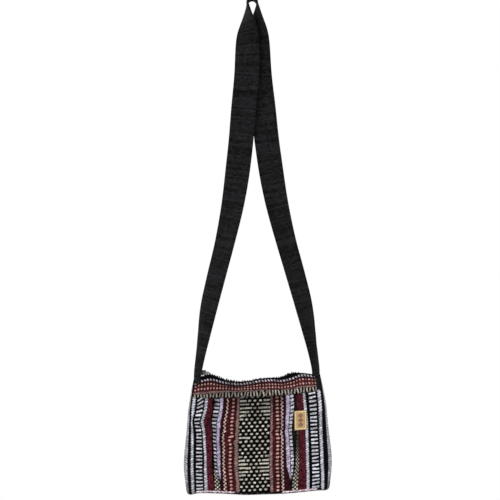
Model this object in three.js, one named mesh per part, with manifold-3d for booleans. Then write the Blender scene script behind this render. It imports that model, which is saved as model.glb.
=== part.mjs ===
// A small zip-top crossbody bag of coarse striped cloth, hanging by its long black strap.
// Millimetres, +Z up, front towards -Y. The origin is the hang point: the inside of the strap's
// top bend, where a peg carries it.

import * as THREE from 'three';
import { mergeVertices } from 'three/addons/utils/BufferGeometryUtils.js';
import Module from 'manifold-3d';

// Driving dimensions
const CLOTH_THICKNESS = 2;
const SEAM_GAP = 0.55;
const STRAP_DROP = 606;
const BAG_LEAN = THREE.MathUtils.degToRad(2.2);
const PANEL_HEIGHT = 148;
const PANEL_BOTTOM = -183;
const CORNER_RADIUS = 2.5;
const BOTTOM_BOW = 3.5;
const BOW_POWER = 2.4;
const RELIEF_SIDE_POWER = 8;
const RELIEF_TOP_FADE = 0.06;

// The bag's cross-sections, from the panels' bottom edge (up = 0) to their top edge (up = 1) and on
// to the gusset's top ends. Each bow is how far that wall swells beyond the seams.
const SECTIONS = [
  { up: 0.0, halfWidth: 108.5, halfDepth: 26, frontBow: 5, backBow: 4, sideBow: 7 },
  { up: 0.25, halfWidth: 109.5, halfDepth: 27, frontBow: 10, backBow: 7, sideBow: 9 },
  { up: 0.55, halfWidth: 108.5, halfDepth: 25, frontBow: 12, backBow: 8, sideBow: 7 },
  { up: 0.85, halfWidth: 107, halfDepth: 22, frontBow: 7, backBow: 5, sideBow: 4 },
  { up: 1.0, halfWidth: 105, halfDepth: 20, frontBow: 4, backBow: 3, sideBow: 2 },
  { up: 1.2, halfWidth: 102, halfDepth: 9, frontBow: 0, backBow: 0, sideBow: 0 },
];

// Upright tucks on the front: each is a soft ridge from topX to footX that is full from fullUp
// upwards and dies out at footUp.
const TUCKS = [
  { topX: -64, footX: -63, height: 4.5, halfWidth: 7, footUp: 0.1, fullUp: 0.4 },
  { topX: 53, footX: 52, height: 4.5, halfWidth: 7, footUp: 0.1, fullUp: 0.4 },
];

// A dent across the middle of the front, where the cloth has sat down on itself.
const DENT = { up: 0.59, depth: 3.5, halfHeight: 9, reach: 50 };

// How far the bottom edge hangs below the lowest section, across the bag.
const FOOT = [
  { across: -1.0, drop: 3.4 },
  { across: -0.9, drop: 1.2 },
  { across: -0.66, drop: 2 },
  { across: -0.42, drop: 4.2 },
  { across: -0.19, drop: 7.2 },
  { across: 0.05, drop: 7.9 },
  { across: 0.4, drop: 8 },
  { across: 0.64, drop: 7.2 },
  { across: 0.88, drop: 6.4 },
  { across: 1.0, drop: 6.9 },
];

// The wavy line of the zip along the top: height of the bands' upper edges across the bag.
const RIDGE = [
  { across: -1.0, height: -9 },
  { across: -0.93, height: -7.2 },
  { across: -0.86, height: -2 },
  { across: -0.7, height: 0.8 },
  { across: -0.5, height: -7.8 },
  { across: -0.3, height: -13 },
  { across: -0.1, height: -12 },
  { across: 0.05, height: -9.5 },
  { across: 0.2, height: -9 },
  { across: 0.36, height: -9.3 },
  { across: 0.5, height: -4 },
  { across: 0.62, height: -3 },
  { across: 0.8, height: -5.5 },
  { across: 1.0, height: -11 },
];

// How far the panels' top seams rise towards the bag's ends, and how far up they start to.
const SEAM_RISE = [
  { across: -1.0, height: 4.5 },
  { across: -0.8, height: 1.8 },
  { across: -0.55, height: 0.3 },
  { across: -0.4, height: 0 },
  { across: 0.4, height: 0 },
  { across: 0.75, height: 2 },
  { across: 1.0, height: 6.5 },
];
const RISE_FROM = 0.75;

// Top bands and zip
const BAND_HALF_LENGTH = 99.4;
const BAND_BOW = 2.5;
const ZIP_HALF_OPENING = 7.5;
const TAPE_HALF_WIDTH = 5.3;
const TAPE_THICKNESS = 1.2;
const TAPE_DROP = 0.8;
const CHAIN_HALF_WIDTH = 2.4;
const CHAIN_THICKNESS = 1.8;
const CHAIN_HALF_LENGTH = 92;
const SLIDER = { x: -81.5, length: 13, noseWidth: 9, tailWidth: 6.4, shoulder: 2.6, thickness: 2.2 };
const BRIDGE = { length: 9.8, height: 2.6, width: 3, sink: 0.2 };
const PULL = { length: 13, width: 8, neckWidth: 4.9, holeRadius: 1.7, thickness: 1.4, lift: 4.6 };
const PULL_RISE = THREE.MathUtils.degToRad(3);
const PULL_ROLL = THREE.MathUtils.degToRad(50);

// Sewn label on the front
const LABEL = { centreX: 69.2, centreUp: 0.728, width: 20, height: 30, thickness: 1, clearance: 0.75 };

// The strap: flat webbing, bent over the hang point. A strand is the stretch from one end up to the
// bend. rise is the share of its height, reach its distance from the middle, forward its offset
// towards the front (left strand) or the back (right strand). turn is how far it has turned from
// edge-on to face-on, and curl the angle that its width is rolled through.
const STRAP_WIDTH = 40;
const STRAP_THICKNESS = 2;
const BEND_RADIUS = 7;
const BEND_STEPS = 8;
const STRAND_STEPS = 38;
const STRAP_SEGMENTS = 6;
const FLAT_CURL = 1e-3;
const STRAND = [
  { rise: 0.0, reach: 101.9, forward: 0, turn: 0, curl: 140 },
  { rise: 0.02, reach: 101.2, forward: 0, turn: 4, curl: 136 },
  { rise: 0.06, reach: 97.8, forward: 0, turn: 16, curl: 118 },
  { rise: 0.11, reach: 91.6, forward: 0, turn: 31, curl: 80 },
  { rise: 0.19, reach: 79.5, forward: 2, turn: 44, curl: 40 },
  { rise: 0.27, reach: 66, forward: 3, turn: 48, curl: 20 },
  { rise: 0.37, reach: 49.5, forward: 4, turn: 52, curl: 12 },
  { rise: 0.48, reach: 34.5, forward: 5, turn: 66, curl: 8 },
  { rise: 0.61, reach: 22.5, forward: 6, turn: 88, curl: 4 },
  { rise: 0.72, reach: 16, forward: 6, turn: 90, curl: 4 },
  { rise: 0.82, reach: 10, forward: 6, turn: 87, curl: 4 },
  { rise: 0.91, reach: 9, forward: 4, turn: 60, curl: 3 },
  { rise: 0.97, reach: 9, forward: 1, turn: 18, curl: 1 },
  { rise: 1.0, reach: 9, forward: 0, turn: 0, curl: 0 },
];

// Mesh steps
const MERGE_DISTANCE = 1e-4;
const CURVE_STEPS = 6;
const LABEL_NUDGE = 0.01;
const FRONT_COLUMNS = 32;
const BACK_COLUMNS = 18;
const PANEL_ROWS = 17;
const BACK_ROWS = 17;
const BAND_COLUMNS = 32;
const BAND_ROWS = 4;
const ZIP_COLUMNS = 46;
const LABEL_COLUMNS = 4;
const LABEL_ROWS = 5;
const GUSSET_COLUMNS = 5;
const SIDE_STEPS = 16;
const CORNER_STEPS = 4;
const BOTTOM_STEPS = 12;

const wasm = await Module();
wasm.setup();

// Materials
const clothMaroon = new THREE.MeshStandardMaterial({ color: 0x6b1a2a, roughness: 0.95 });
const clothLavender = new THREE.MeshStandardMaterial({ color: 0xbeafcd, roughness: 0.95 });
const webbingBlack = new THREE.MeshStandardMaterial({ color: 0x1e1e21, roughness: 0.9 });
const zipBlack = new THREE.MeshStandardMaterial({ color: 0x141416, roughness: 0.5 });
const nickel = new THREE.MeshStandardMaterial({ color: 0x9a9aa2, roughness: 0.35, metalness: 1 });
const labelYellow = new THREE.MeshStandardMaterial({ color: 0xe1be5a, roughness: 0.8 });

// A smooth curve through one column of a table, read at any place along its first column.
function smoothColumn(table, placeName, valueName) {
  const place = table.map((row) => row[placeName]);
  const value = table.map((row) => row[valueName]);
  const last = table.length - 1;
  const slope = value.map((_, k) => {
    const before = Math.max(k - 1, 0);
    const after = Math.min(k + 1, last);
    return (value[after] - value[before]) / (place[after] - place[before]);
  });
  return (at) => {
    let k = 0;
    while (k < last - 1 && at > place[k + 1]) k += 1;
    const span = place[k + 1] - place[k];
    const t = THREE.MathUtils.clamp((at - place[k]) / span, 0, 1);
    const ease = t * t * (3 - 2 * t);
    const leave = t * (1 - t) * (1 - t) * span * slope[k];
    const arrive = t * t * (1 - t) * span * slope[k + 1];
    return value[k] + (value[k + 1] - value[k]) * ease + leave - arrive;
  };
}

const halfWidthAt = smoothColumn(SECTIONS, 'up', 'halfWidth');
const halfDepthAt = smoothColumn(SECTIONS, 'up', 'halfDepth');
const frontBowAt = smoothColumn(SECTIONS, 'up', 'frontBow');
const backBowAt = smoothColumn(SECTIONS, 'up', 'backBow');
const sideBowAt = smoothColumn(SECTIONS, 'up', 'sideBow');
const ridgeAt = smoothColumn(RIDGE, 'across', 'height');
const footDropAt = smoothColumn(FOOT, 'across', 'drop');
const seamRiseAt = smoothColumn(SEAM_RISE, 'across', 'height');
const ridgeAtX = (x) => ridgeAt(x / halfWidthAt(1));

const heightAt = (up) => PANEL_BOTTOM + PANEL_HEIGHT * up;
const sagAt = (x, up) => footDropAt(x / SECTIONS[0].halfWidth) * Math.max(1 - up, 0) ** 2;
const swell = (across) => 1 - Math.abs(across) ** BOW_POWER;
const bell = (distance, halfWidth) => Math.exp(-((distance / halfWidth) ** 2));

// How far the rounded bottom corners draw the side seams in at a height above the bottom edge.
function cornerInset(above) {
  const below = Math.max(CORNER_RADIUS - above, 0);
  return CORNER_RADIUS - Math.sqrt(CORNER_RADIUS ** 2 - below ** 2);
}

const seamHalfWidth = (up) => halfWidthAt(up) - cornerInset(PANEL_HEIGHT * up);

// How far up the bag a point of a panel lies, with its top seam's rise.
function risen(across, up) {
  const rise = seamRiseAt(across) * THREE.MathUtils.smoothstep(up, RISE_FROM, 1);
  return up + rise / PANEL_HEIGHT;
}

// A grid of points: columns run along u, rows along v, both from 0 to 1.
function gridOf(columns, rows, pointAt) {
  const grid = [];
  for (let row = 0; row <= rows; row += 1) {
    const line = [];
    for (let column = 0; column <= columns; column += 1) line.push(pointAt(column / columns, row / rows));
    grid.push(line);
  }
  return grid;
}

// The outward normal of a grid point, from its neighbours along and across.
function gridNormal(grid, column, row) {
  const lastRow = grid.length - 1;
  const lastColumn = grid[0].length - 1;
  const along = grid[row][Math.min(column + 1, lastColumn)].clone();
  along.sub(grid[row][Math.max(column - 1, 0)]);
  const across = grid[Math.min(row + 1, lastRow)][column].clone();
  across.sub(grid[Math.max(row - 1, 0)][column]);
  return along.cross(across).normalize();
}

// A closed wall: the outer grid, the same grid pushed inwards by the thickness, and its rim.
function wallGeometry(outer, thickness, inwardAt) {
  const rows = outer.length;
  const columns = outer[0].length;
  const inner = outer.map((line, row) => line.map((point, column) => {
    const normal = gridNormal(outer, column, row);
    const inward = inwardAt ? inwardAt(normal, column, row) : normal.negate();
    return point.clone().addScaledVector(inward, thickness);
  }));
  const points = [...outer.flat(), ...inner.flat()];
  const outerIndex = (column, row) => row * columns + column;
  const innerIndex = (column, row) => (rows + row) * columns + column;
  const index = [];
  const quad = (a, b, c, d) => index.push(a, b, c, a, c, d);
  for (let row = 0; row < rows - 1; row += 1) {
    for (let column = 0; column < columns - 1; column += 1) {
      const corners = [[column, row], [column + 1, row], [column + 1, row + 1], [column, row + 1]];
      quad(...corners.map((corner) => outerIndex(...corner)));
      quad(...corners.map((corner) => innerIndex(...corner)).reverse());
    }
  }
  const rim = [];
  for (let column = 0; column < columns - 1; column += 1) rim.push([column, 0]);
  for (let row = 0; row < rows - 1; row += 1) rim.push([columns - 1, row]);
  for (let column = columns - 1; column > 0; column -= 1) rim.push([column, rows - 1]);
  for (let row = rows - 1; row > 0; row -= 1) rim.push([0, row]);
  rim.forEach((from, k) => {
    const to = rim[(k + 1) % rim.length];
    quad(outerIndex(...to), outerIndex(...from), innerIndex(...from), innerIndex(...to));
  });
  const geometry = new THREE.BufferGeometry().setFromPoints(points);
  geometry.setIndex(index);
  geometry.computeVertexNormals();
  return geometry;
}

// The front panel's outer face. across runs from -1 at the left seam to 1 at the right one.
function frontPoint(across, up) {
  const at = risen(across, up);
  const x = across * seamHalfWidth(at);
  const bow = frontBowAt(at) * swell(across);
  const sideFade = 1 - across ** RELIEF_SIDE_POWER;
  const topFade = THREE.MathUtils.smoothstep(1 - up, 0, RELIEF_TOP_FADE);
  let relief = 0;
  for (const tuck of TUCKS) {
    const line = THREE.MathUtils.lerp(tuck.footX, tuck.topX, up);
    const fade = THREE.MathUtils.smoothstep(up, tuck.footUp, tuck.fullUp);
    relief += tuck.height * fade * bell(x - line, tuck.halfWidth);
  }
  const dentAt = bell((up - DENT.up) * PANEL_HEIGHT, DENT.halfHeight);
  relief -= DENT.depth * dentAt * bell(x, DENT.reach);
  const y = -halfDepthAt(at) - bow - relief * sideFade * topFade;
  return new THREE.Vector3(x, y, heightAt(at) - sagAt(x, at));
}

// The back panel's outer face, seen from behind, so across runs from the bag's right to its left.
function backPoint(across, up) {
  const at = risen(-across, up);
  const x = -across * seamHalfWidth(at);
  const bow = backBowAt(at) * swell(across);
  return new THREE.Vector3(x, halfDepthAt(at) + bow, heightAt(at) - sagAt(x, at));
}

// Row places up a panel: an even arc step round each bottom corner, then even steps to the top seam.
function panelRow(row, rows) {
  const topUp = 1 - SEAM_GAP / PANEL_HEIGHT;
  const cornerUp = CORNER_RADIUS / PANEL_HEIGHT;
  if (row < CORNER_STEPS) return cornerUp * (1 - Math.cos((row / CORNER_STEPS) * Math.PI / 2));
  return THREE.MathUtils.lerp(cornerUp, topUp, (row - CORNER_STEPS) / (rows - CORNER_STEPS));
}

function panelGeometry(pointAt, columns, rows) {
  const grid = gridOf(columns, rows, (u, v) => pointAt(2 * u - 1, panelRow(Math.round(v * rows), rows)));
  return wallGeometry(grid, CLOTH_THICKNESS);
}

// Stations along the gusset, from its left top end, down, along the bottom and up to the right one.
// Each gives the seam's place, the way out from the bag, and how far up the bag it is.
function gussetStations() {
  const stations = [];
  const topUp = SECTIONS.at(-1).up;
  const cornerUp = CORNER_RADIUS / PANEL_HEIGHT;
  for (let step = 0; step <= SIDE_STEPS; step += 1) {
    const up = THREE.MathUtils.lerp(topUp, cornerUp, step / SIDE_STEPS);
    stations.push({ x: -halfWidthAt(up), outX: -1, outZ: 0, up });
  }
  for (let step = 1; step <= CORNER_STEPS; step += 1) {
    const angle = (step / CORNER_STEPS) * Math.PI / 2;
    const up = cornerUp * (1 - Math.sin(angle));
    stations.push({ x: -seamHalfWidth(up), outX: -Math.cos(angle), outZ: -Math.sin(angle), up });
  }
  const left = [...stations];
  const half = -left.at(-1).x;
  for (let step = 1; step < BOTTOM_STEPS; step += 1) {
    const x = THREE.MathUtils.lerp(-half, half, step / BOTTOM_STEPS);
    stations.push({ x, outX: 0, outZ: -1, up: 0 });
  }
  for (const { x, outX, outZ, up } of left.reverse()) stations.push({ x: -x, outX: -outX, outZ, up });
  return stations;
}

function gussetGeometry() {
  const stations = gussetStations();
  const lastStation = stations.length - 1;
  const grid = gridOf(lastStation, GUSSET_COLUMNS, (u, v) => {
    const { x, outX, outZ, up } = stations[Math.round(u * lastStation)];
    const z = heightAt(up) - sagAt(x, up);
    const edge = halfDepthAt(up) - CLOTH_THICKNESS - SEAM_GAP;
    const full = swell(x / seamHalfWidth(up));
    const y = THREE.MathUtils.lerp(edge + backBowAt(up) * full, -edge - frontBowAt(up) * full, v);
    const deepest = THREE.MathUtils.lerp(sideBowAt(up), BOTTOM_BOW, outZ ** 2);
    const bow = deepest * (1 - (1 - 2 * v) ** 2);
    return new THREE.Vector3(x + outX * bow, y, z + outZ * bow);
  });
  return wallGeometry(grid, CLOTH_THICKNESS);
}

// A top band, from the panel's upper seam to the zip. towards is -1 for the front, 1 for the back.
function bandGeometry(towards) {
  const seamPoint = towards < 0 ? frontPoint : backPoint;
  const grid = gridOf(BAND_COLUMNS, BAND_ROWS, (u, v) => {
    const x = -towards * (2 * u - 1) * BAND_HALF_LENGTH;
    const across = x / halfWidthAt(1);
    const seam = seamPoint(-towards * across, 1);
    const y = THREE.MathUtils.lerp(seam.y, towards * ZIP_HALF_OPENING, v);
    const z = THREE.MathUtils.lerp(seam.z, ridgeAt(across), v);
    const bow = BAND_BOW * Math.sin(Math.PI * v);
    return new THREE.Vector3(x, y + towards * bow, z);
  });
  const level = new THREE.Vector3(0, -towards, 0);
  const inwardAt = (normal, column, row) => (row === 0 ? level : normal.negate());
  return wallGeometry(grid, CLOTH_THICKNESS, inwardAt);
}

// A strip that follows the ridge along the zip, its top a given height above the bands' edges.
function ridgeStrip(halfLength, halfWidth, thickness, lift) {
  const grid = gridOf(ZIP_COLUMNS, 1, (u, v) => {
    const x = (2 * u - 1) * halfLength;
    return new THREE.Vector3(x, (2 * v - 1) * halfWidth, ridgeAtX(x) + lift);
  });
  return wallGeometry(grid, thickness);
}

// A closed geometry as a solid that can be joined.
function solidOf(geometry) {
  const bare = geometry.clone();
  bare.deleteAttribute('normal');
  bare.deleteAttribute('uv');
  const merged = mergeVertices(bare, MERGE_DISTANCE);
  return new wasm.Manifold(new wasm.Mesh({
    numProp: 3,
    vertProperties: new Float32Array(merged.attributes.position.array),
    triVerts: new Uint32Array(merged.index.array),
  }));
}

function geometryOf(solid) {
  const mesh = solid.getMesh();
  const geometry = new THREE.BufferGeometry();
  geometry.setAttribute('position', new THREE.BufferAttribute(mesh.vertProperties, 3));
  geometry.setIndex(new THREE.BufferAttribute(mesh.triVerts, 1));
  geometry.computeVertexNormals();
  return geometry;
}

// The zip slider: a shield-shaped body, a bridge on it and the pull, rolled to face the front.
// It is made round the middle of the body's underside, with its nose towards +X.
function sliderGeometry() {
  const flat = (depth) => ({ depth, bevelEnabled: false, curveSegments: CURVE_STEPS });
  const nose = SLIDER.length / 2;
  const wide = SLIDER.noseWidth / 2;
  const shield = new THREE.Shape();
  shield.moveTo(-nose, -SLIDER.tailWidth / 2);
  shield.lineTo(SLIDER.shoulder, -wide);
  shield.quadraticCurveTo(nose, -wide, nose, 0);
  shield.quadraticCurveTo(nose, wide, SLIDER.shoulder, wide);
  shield.lineTo(-nose, SLIDER.tailWidth / 2);
  const body = new THREE.ExtrudeGeometry(shield, flat(SLIDER.thickness));

  const arch = new THREE.Shape();
  arch.absellipse(0, 0, BRIDGE.length / 2, BRIDGE.height, 0, Math.PI, false);
  const bridge = new THREE.ExtrudeGeometry(arch, flat(BRIDGE.width));
  bridge.rotateX(Math.PI / 2);
  bridge.translate(0, BRIDGE.width / 2, SLIDER.thickness - BRIDGE.sink);

  const end = PULL.width / 2;
  const tab = new THREE.Shape();
  tab.absarc(-PULL.length + end, 0, end, Math.PI / 2, 1.5 * Math.PI, false);
  tab.lineTo(0, -PULL.neckWidth / 2);
  tab.lineTo(0, PULL.neckWidth / 2);
  const hole = new THREE.Path();
  hole.absarc(-PULL.length + end, 0, PULL.holeRadius, 0, 2 * Math.PI, true);
  tab.holes.push(hole);
  const pull = new THREE.ExtrudeGeometry(tab, flat(PULL.thickness));
  pull.translate(0, 0, -PULL.thickness / 2);
  pull.rotateX(PULL_ROLL);
  pull.translate(0, 0, PULL.lift);
  pull.rotateY(PULL_RISE);
  return geometryOf(solidOf(body).add(solidOf(bridge)).add(solidOf(pull)));
}

// The label lies on the front panel, just clear of it.
function labelGeometry() {
  const grid = gridOf(LABEL_COLUMNS, LABEL_ROWS, (u, v) => {
    const up = LABEL.centreUp + ((v - 0.5) * LABEL.height) / PANEL_HEIGHT;
    const across = (LABEL.centreX + (u - 0.5) * LABEL.width) / seamHalfWidth(up);
    const point = frontPoint(across, up);
    const along = frontPoint(across + LABEL_NUDGE, up).sub(point);
    const upwards = frontPoint(across, up + LABEL_NUDGE).sub(point);
    const outward = along.cross(upwards).normalize();
    return point.addScaledVector(outward, LABEL.clearance + LABEL.thickness);
  });
  return wallGeometry(grid, LABEL.thickness);
}

// The soft bag hangs plumb but with its right side higher, so it leans as a shear, not as a turn.
const bag = new THREE.Group();
bag.matrixAutoUpdate = false;
bag.matrix.makeShear(0, Math.tan(BAG_LEAN), 0, 0, 0, 0).setPosition(0, 0, -STRAP_DROP);
bag.updateMatrixWorld(true);

// Stations along the strap's outer face: up the left strand, over the bend, down the right strand.
function strapStations() {
  const columns = ['reach', 'forward', 'turn', 'curl'];
  const read = Object.fromEntries(columns.map((name) => [name, smoothColumn(STRAND, 'rise', name)]));
  const endHeight = heightAt(SECTIONS.at(-1).up) + SEAM_GAP;
  const strand = (side) => {
    const end = bag.localToWorld(new THREE.Vector3(side * STRAND[0].reach, 0, endHeight));
    const stations = [];
    for (let step = 0; step <= STRAND_STEPS; step += 1) {
      const rise = step / STRAND_STEPS;
      const x = side * read.reach(rise);
      const z = THREE.MathUtils.lerp(end.z, -BEND_RADIUS, rise);
      const centre = new THREE.Vector3(x, side * read.forward(rise), z);
      stations.push({ centre, turn: read.turn(rise), curl: read.curl(rise) });
    }
    return stations;
  };
  const bend = [];
  const bendOuter = BEND_RADIUS + STRAP_THICKNESS;
  for (let step = 1; step < BEND_STEPS; step += 1) {
    const angle = Math.PI * (1 - step / BEND_STEPS);
    const z = bendOuter * Math.sin(angle) - BEND_RADIUS;
    bend.push({ centre: new THREE.Vector3(bendOuter * Math.cos(angle), 0, z), turn: 0, curl: 0 });
  }
  return [...strand(-1), ...bend, ...strand(1).reverse()];
}

function strapGeometry() {
  const stations = strapStations();
  const last = stations.length - 1;
  const grid = gridOf(last, STRAP_SEGMENTS, (u, v) => {
    const k = Math.round(u * last);
    const { centre, turn, curl } = stations[k];
    const along = stations[Math.min(k + 1, last)].centre.clone();
    along.sub(stations[Math.max(k - 1, 0)].centre).normalize();
    if (k === 0 || k === last) along.set(0, 0, k === 0 ? 1 : -1);
    const turned = THREE.MathUtils.degToRad(turn);
    const width = new THREE.Vector3(-Math.sin(turned), Math.cos(turned), 0);
    width.addScaledVector(along, -width.dot(along)).normalize();
    const outward = along.clone().cross(width);
    const rolled = Math.max(THREE.MathUtils.degToRad(curl), FLAT_CURL);
    const radius = STRAP_WIDTH / rolled;
    const angle = (v - 0.5) * rolled;
    const point = centre.clone().addScaledVector(width, radius * Math.sin(angle));
    return point.addScaledVector(outward, radius * (Math.cos(angle) - 1));
  });
  return wallGeometry(grid, STRAP_THICKNESS);
}

function named(name, geometry, material) {
  const mesh = new THREE.Mesh(geometry, material);
  mesh.name = name;
  return mesh;
}

const chainLift = CHAIN_THICKNESS + SEAM_GAP - TAPE_DROP;
const slider = named('zip_slider', sliderGeometry(), nickel);
const sliderFall = ridgeAtX(SLIDER.x - SLIDER.length / 2) - ridgeAtX(SLIDER.x + SLIDER.length / 2);
slider.position.set(SLIDER.x, 0, ridgeAtX(SLIDER.x) + chainLift + SEAM_GAP);
slider.rotation.y = Math.atan2(sliderFall, SLIDER.length);

bag.add(
  named('front_panel', panelGeometry(frontPoint, FRONT_COLUMNS, PANEL_ROWS), clothMaroon),
  named('back_panel', panelGeometry(backPoint, BACK_COLUMNS, BACK_ROWS), clothMaroon),
  named('gusset', gussetGeometry(), clothLavender),
  named('top_band_front', bandGeometry(-1), clothMaroon),
  named('top_band_back', bandGeometry(1), clothMaroon),
  named('zip_tape', ridgeStrip(BAND_HALF_LENGTH, TAPE_HALF_WIDTH, TAPE_THICKNESS, -TAPE_DROP), zipBlack),
  named('zip_chain', ridgeStrip(CHAIN_HALF_LENGTH, CHAIN_HALF_WIDTH, CHAIN_THICKNESS, chainLift), zipBlack),
  slider,
  named('label', labelGeometry(), labelYellow),
);

const crossbodyBag = new THREE.Group();
crossbodyBag.add(bag);
crossbodyBag.add(named('strap', strapGeometry(), webbingBlack));

export default crossbodyBag;
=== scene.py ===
# The looks of a small zip-top crossbody bag of coarse striped cloth, hanging by its long black strap.
# Lengths in the tables are millimetres, as in the CAD; MM turns them into Blender's metres.

import math
from functools import partial

import bpy
import numpy as np
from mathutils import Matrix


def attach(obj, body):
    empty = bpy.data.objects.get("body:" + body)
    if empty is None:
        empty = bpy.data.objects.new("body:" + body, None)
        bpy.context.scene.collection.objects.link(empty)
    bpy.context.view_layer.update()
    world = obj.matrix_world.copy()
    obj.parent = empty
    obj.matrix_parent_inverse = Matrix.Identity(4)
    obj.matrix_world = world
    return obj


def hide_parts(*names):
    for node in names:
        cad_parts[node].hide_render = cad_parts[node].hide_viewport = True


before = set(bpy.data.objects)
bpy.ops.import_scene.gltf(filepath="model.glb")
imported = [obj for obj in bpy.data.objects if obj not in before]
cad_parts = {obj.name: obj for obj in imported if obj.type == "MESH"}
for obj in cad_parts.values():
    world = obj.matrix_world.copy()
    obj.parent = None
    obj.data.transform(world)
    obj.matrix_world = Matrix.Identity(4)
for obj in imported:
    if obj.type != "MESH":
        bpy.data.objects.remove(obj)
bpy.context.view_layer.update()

MM = 0.001
UP = np.array([0.0, 0.0, 1.0])

# Camera: level, nearly square-on and slightly rolled, framed for a square picture
CAMERA_DISTANCE = 2.4
PICTURE_SIDE = 0.8
PICTURE_CENTRE = (-0.0084, -0.406)
FRONT_PLANE = -0.03
CAMERA_ROLL = math.radians(0.7)
SENSOR_WIDTH = 36.0

# Studio
FLOOR_HEIGHT = -1.2
FLOOR_RADIUS = 2.2
FLOOR_SIDES = 96
WORLD_LIGHT = 1.0
LIGHTS = [
    # name, place, size, power
    ("key", (-1.1, -1.9, 0.55), 1.2, 22.0),
    ("fill", (1.6, -1.7, -0.1), 1.4, 9.0),
]

# The bag's form, as in the CAD
CLOTH_THICKNESS = 2.0
STRAP_DROP = 606.0
BAG_LEAN = math.radians(2.2)
PANEL_HEIGHT = 148.0
PANEL_BOTTOM = -183.0
CORNER_RADIUS = 2.5
CORNER_EASE = 3 * CORNER_RADIUS
BOTTOM_BOW = 3.5
BOW_POWER = 2.4
RELIEF_SIDE_POWER = 8
RELIEF_TOP_FADE = 0.06
SEAM_GAP = 0.55
TOP_UP = 1.2
SECTION_NAMES = "up half_width half_depth front_bow back_bow side_bow"
SECTIONS = [
    (0.0, 108.5, 26, 5, 4, 7),
    (0.25, 109.5, 27, 10, 7, 9),
    (0.55, 108.5, 25, 12, 8, 7),
    (0.85, 107, 22, 7, 5, 4),
    (1.0, 105, 20, 4, 3, 2),
    (TOP_UP, 102, 9, 0, 0, 0),
]
TUCKS = [
    # x at the top and at the foot, height and half width, and where up the panel it starts and is full
    (-64, -63, 4.5, 7, 0.1, 0.4),
    (53, 52, 4.5, 7, 0.1, 0.4),
]
DENT_UP = 0.59
DENT_DEPTH = 3.5
DENT_HALF_HEIGHT = 9.0
DENT_REACH = 50.0
# Heights along the bag, each at a share of the way from its middle to a side
FOOT_DROP = [
    (-1.0, 3.4), (-0.9, 1.2), (-0.66, 2), (-0.42, 4.2), (-0.19, 7.2), (0.05, 7.9), (0.4, 8), (0.64, 7.2),
    (0.88, 6.4), (1.0, 6.9),
]
SEAM_RISE = [(-1.0, 4.5), (-0.8, 1.8), (-0.55, 0.3), (-0.4, 0), (0.4, 0), (0.75, 2), (1.0, 6.5)]
RISE_FROM = 0.75
RIDGE = [
    (-1.0, -9), (-0.93, -7.2), (-0.86, -2), (-0.7, 0.8), (-0.5, -7.8), (-0.3, -13), (-0.1, -12), (0.05, -9.5),
    (0.2, -9), (0.36, -9.3), (0.5, -4), (0.62, -3), (0.8, -5.5), (1.0, -11),
]

# Seams: how far a wall's edge rolls inwards and over what width, and its shade
ROLL_DEPTH = 1.6
ROLL_WIDTH = 2.6
SEAM_TONE = 0.3
SEAM_SHADE = 3.2

# Top bands, zip and label
BAND_HALF_LENGTH = 99.4
BAND_BOW = 2.5
BAND_INSET = 1.4
BAND_ARC = 36.0
BAND_SQUEEZE = 1.2
BAND_BOUND = 0.94
BAND_BOUND_EASE = 0.02
ZIP_HALF_OPENING = 7.5
TAPE_HALF_WIDTH = 5.3
TAPE_THICKNESS = 1.2
TAPE_DROP = 0.8
CHAIN_HALF_LENGTH = 92.0
TOOTH_PITCH = 1.7
TOOTH_RADIUS = 0.68
TOOTH_LIFT = 0.6
TOOTH_REACH = 1.72
LABEL_X = 69.2
LABEL_UP = 0.728
LABEL_WIDTH = 20.0
LABEL_HEIGHT = 30.0
LABEL_THICKNESS = 1.0
LABEL_LIFT = 2.1
LABEL_EASE = 6.0

# Strap
STRAP_WIDTH = 40.0
STRAP_THICKNESS = 2.0
BEND_RADIUS = 7.0
STRAND_NAMES = "rise reach forward turn curl"
STRAND = [
    (0.0, 101.9, 0, 0, 140),
    (0.02, 101.2, 0, 4, 136),
    (0.06, 97.8, 0, 16, 118),
    (0.11, 91.6, 0, 31, 80),
    (0.19, 79.5, 2, 44, 40),
    (0.27, 66, 3, 48, 20),
    (0.37, 49.5, 4, 52, 12),
    (0.48, 34.5, 5, 66, 8),
    (0.61, 22.5, 6, 88, 4),
    (0.72, 16, 6, 90, 4),
    (0.82, 10, 6, 87, 4),
    (0.91, 9, 4, 60, 3),
    (0.97, 9, 1, 18, 1),
    (1.0, 9, 0, 0, 0),
]
STRAP_END_REACH = STRAND[0][1]

# Weave: one float of warp yarn is YARN wide and PICK long
YARN = 2.2
PICK = 2.9
PAIR = 2 * PICK
ROW_STEP = PICK / 4
ROW_SAG = 3.5
COLUMN_STEP = 0.75
LEAST_COLUMNS = 3
INNER_STRIDE = 8
# The ground's ribs and the figures on it: heights, roundness, the painted shade where the yarns lie low, and
# unevenness of tone
RIB_HEIGHT = 0.6
RIB_ROUND = 0.6
PICK_ROUND = 0.4
GROUND_HEIGHT = 0.3
FIGURE_HEIGHT = 0.85
FIGURE_SHARPNESS = 4.0
FIGURE_FRINGE = 0.4
GAP_SHADE = 0.3
TONE_SPREAD = 0.34
RIB_SPREAD = 0.7
# A stripe narrower than this shows no figure, and one wider than that shows all of it
HIDDEN_WIDTH = 1.2
SHOWN_WIDTH = 3.0
# Ladders: how unevenly the rungs lie, and how square their ends are
RUNG_SHIFT = 0.05
RUNG_UNEVEN = 0.1
RUNG_SQUARENESS = 8
# Cords, checks and beads: pitches, and sizes as shares of their cell
CORD_PITCH = 3.9
CORD_HALF_WIDTH = 0.47
CORD_SLANT = 0.5
CORD_WANDER = 0.05
CHECK_PITCH = 3.4
BEAD_HALF_WIDTH = 0.38
BEAD_HALF_HEIGHT = 0.28
BEAD_WANDER = 0.05
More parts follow.
